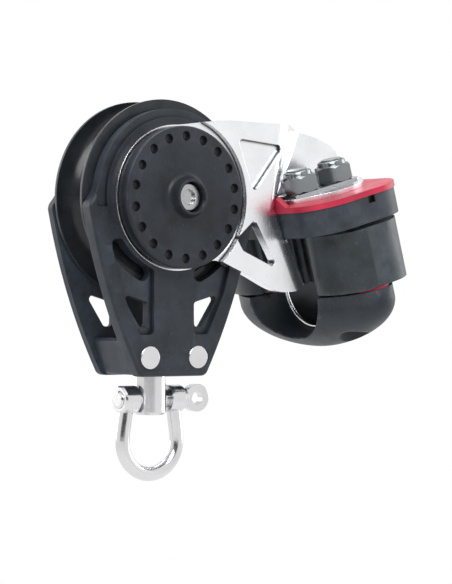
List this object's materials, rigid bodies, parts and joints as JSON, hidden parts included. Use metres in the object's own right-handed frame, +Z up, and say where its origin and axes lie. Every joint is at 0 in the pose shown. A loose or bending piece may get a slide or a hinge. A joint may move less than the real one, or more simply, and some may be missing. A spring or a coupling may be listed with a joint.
{
  "type": "sailing block",
  "caption": "Swivel sailing block with a ball bearing sheave, a shackle below and a side arm that holds a cam cleat and fairlead",
  "frame": {"origin": "the sheave's centre, on the axle at mid-width", "axes": "+Z up, from the shackle to the sheave; Y along the sheave's axle, with the cover disc and the arm at -Y; +X from the sheave towards the cam cleat"},
  "size_m": [0.105, 0.0672, 0.1105],
  "materials": {
    "sheave_black": "hard black, satin gloss",
    "nylon_black": "satin moulded nylon",
    "disc_black": "satin moulded nylon",
    "bearing_white": "smooth acetal",
    "stainless": "polished stainless steel",
    "arm_metal": "bright polished",
    "plate_red": "moulded red",
    "cam_black": "satin moulded"
  },
  "bodies": {
    "block": {"front_cheek": "nylon_black", "rear_cheek": "nylon_black", "head_block": "nylon_black", "rivets": "stainless", "hub": "nylon_black", "cover_disc": "disc_black", "rear_cap": "disc_black", "axle_bolt": "stainless", "axle_nut": "stainless", "swivel_washer": "bearing_white"},
    "sheave": {"sheave": "sheave_black"},
    "front_ball_row": {"front_balls": "bearing_white"},
    "rear_ball_row": {"rear_balls": "bearing_white"},
    "arm": {"cleat_arm": "arm_metal", "cleat_plate": "plate_red", "cleat_housing": "nylon_black", "cam_sleeves": "stainless", "thrust_washers": "plate_red", "near_cam_spring": "stainless", "far_cam_spring": "stainless", "fairlead": "nylon_black", "fairlead_lining": "stainless", "cam_screws": "stainless", "mount_bolts": "stainless", "washer_plates": "stainless", "lock_nuts": "stainless"},
    "near_cam": {"near_cam": "cam_black"},
    "far_cam": {"far_cam": "cam_black"},
    "swivel": {"swivel_post": "stainless"},
    "shackle": {"shackle_bow": "stainless", "shackle_pin": "stainless"}
  },
  "joints": [
    {"name": "sheave_spin", "type": "hinge", "parent": "block", "child": "sheave", "pos_m": [0, 0, 0], "axis": [0, 1, 0], "continuous": true},
    {"name": "front_balls_roll", "type": "hinge", "parent": "block", "child": "front_ball_row", "pos_m": [0, -0.0036, 0], "axis": [0, 1, 0], "continuous": true},
    {"name": "rear_balls_roll", "type": "hinge", "parent": "block", "child": "rear_ball_row", "pos_m": [0, 0.0036, 0], "axis": [0, 1, 0], "continuous": true},
    {"name": "arm_angle", "type": "hinge", "parent": "block", "child": "arm", "pos_m": [0, -0.0127, 0], "axis": [0, 1, 0], "range_deg": [-40, 15]},
    {"name": "near_cam_turn", "type": "hinge", "parent": "arm", "child": "near_cam", "pos_m": [0.05527, -0.019, -0.01701], "axis": [-0.2672, 0, 0.9636], "range_deg": [-30, 0], "stiffness_Nm_per_rad": 0.03, "springref_deg": 20.05},
    {"name": "far_cam_turn", "type": "hinge", "parent": "arm", "child": "far_cam", "pos_m": [0.05527, 0.019, -0.01701], "axis": [-0.2672, 0, 0.9636], "range_deg": [0, 30], "stiffness_Nm_per_rad": 0.03, "springref_deg": -20.05},
    {"name": "swivel_spin", "type": "hinge", "parent": "block", "child": "swivel", "pos_m": [0, 0, -0.045], "axis": [0, 0, 1], "continuous": true},
    {"name": "shackle_swing", "type": "hinge", "parent": "swivel", "child": "shackle", "pos_m": [0, 0, -0.0581], "axis": [1, 0, 0], "range_deg": [-95, 95]}
  ],
  "couplings": [
    {"joint": "front_balls_roll", "follows": "sheave_spin", "ratio": 0.5625},
    {"joint": "rear_balls_roll", "follows": "sheave_spin", "ratio": 0.5625}
  ]
}
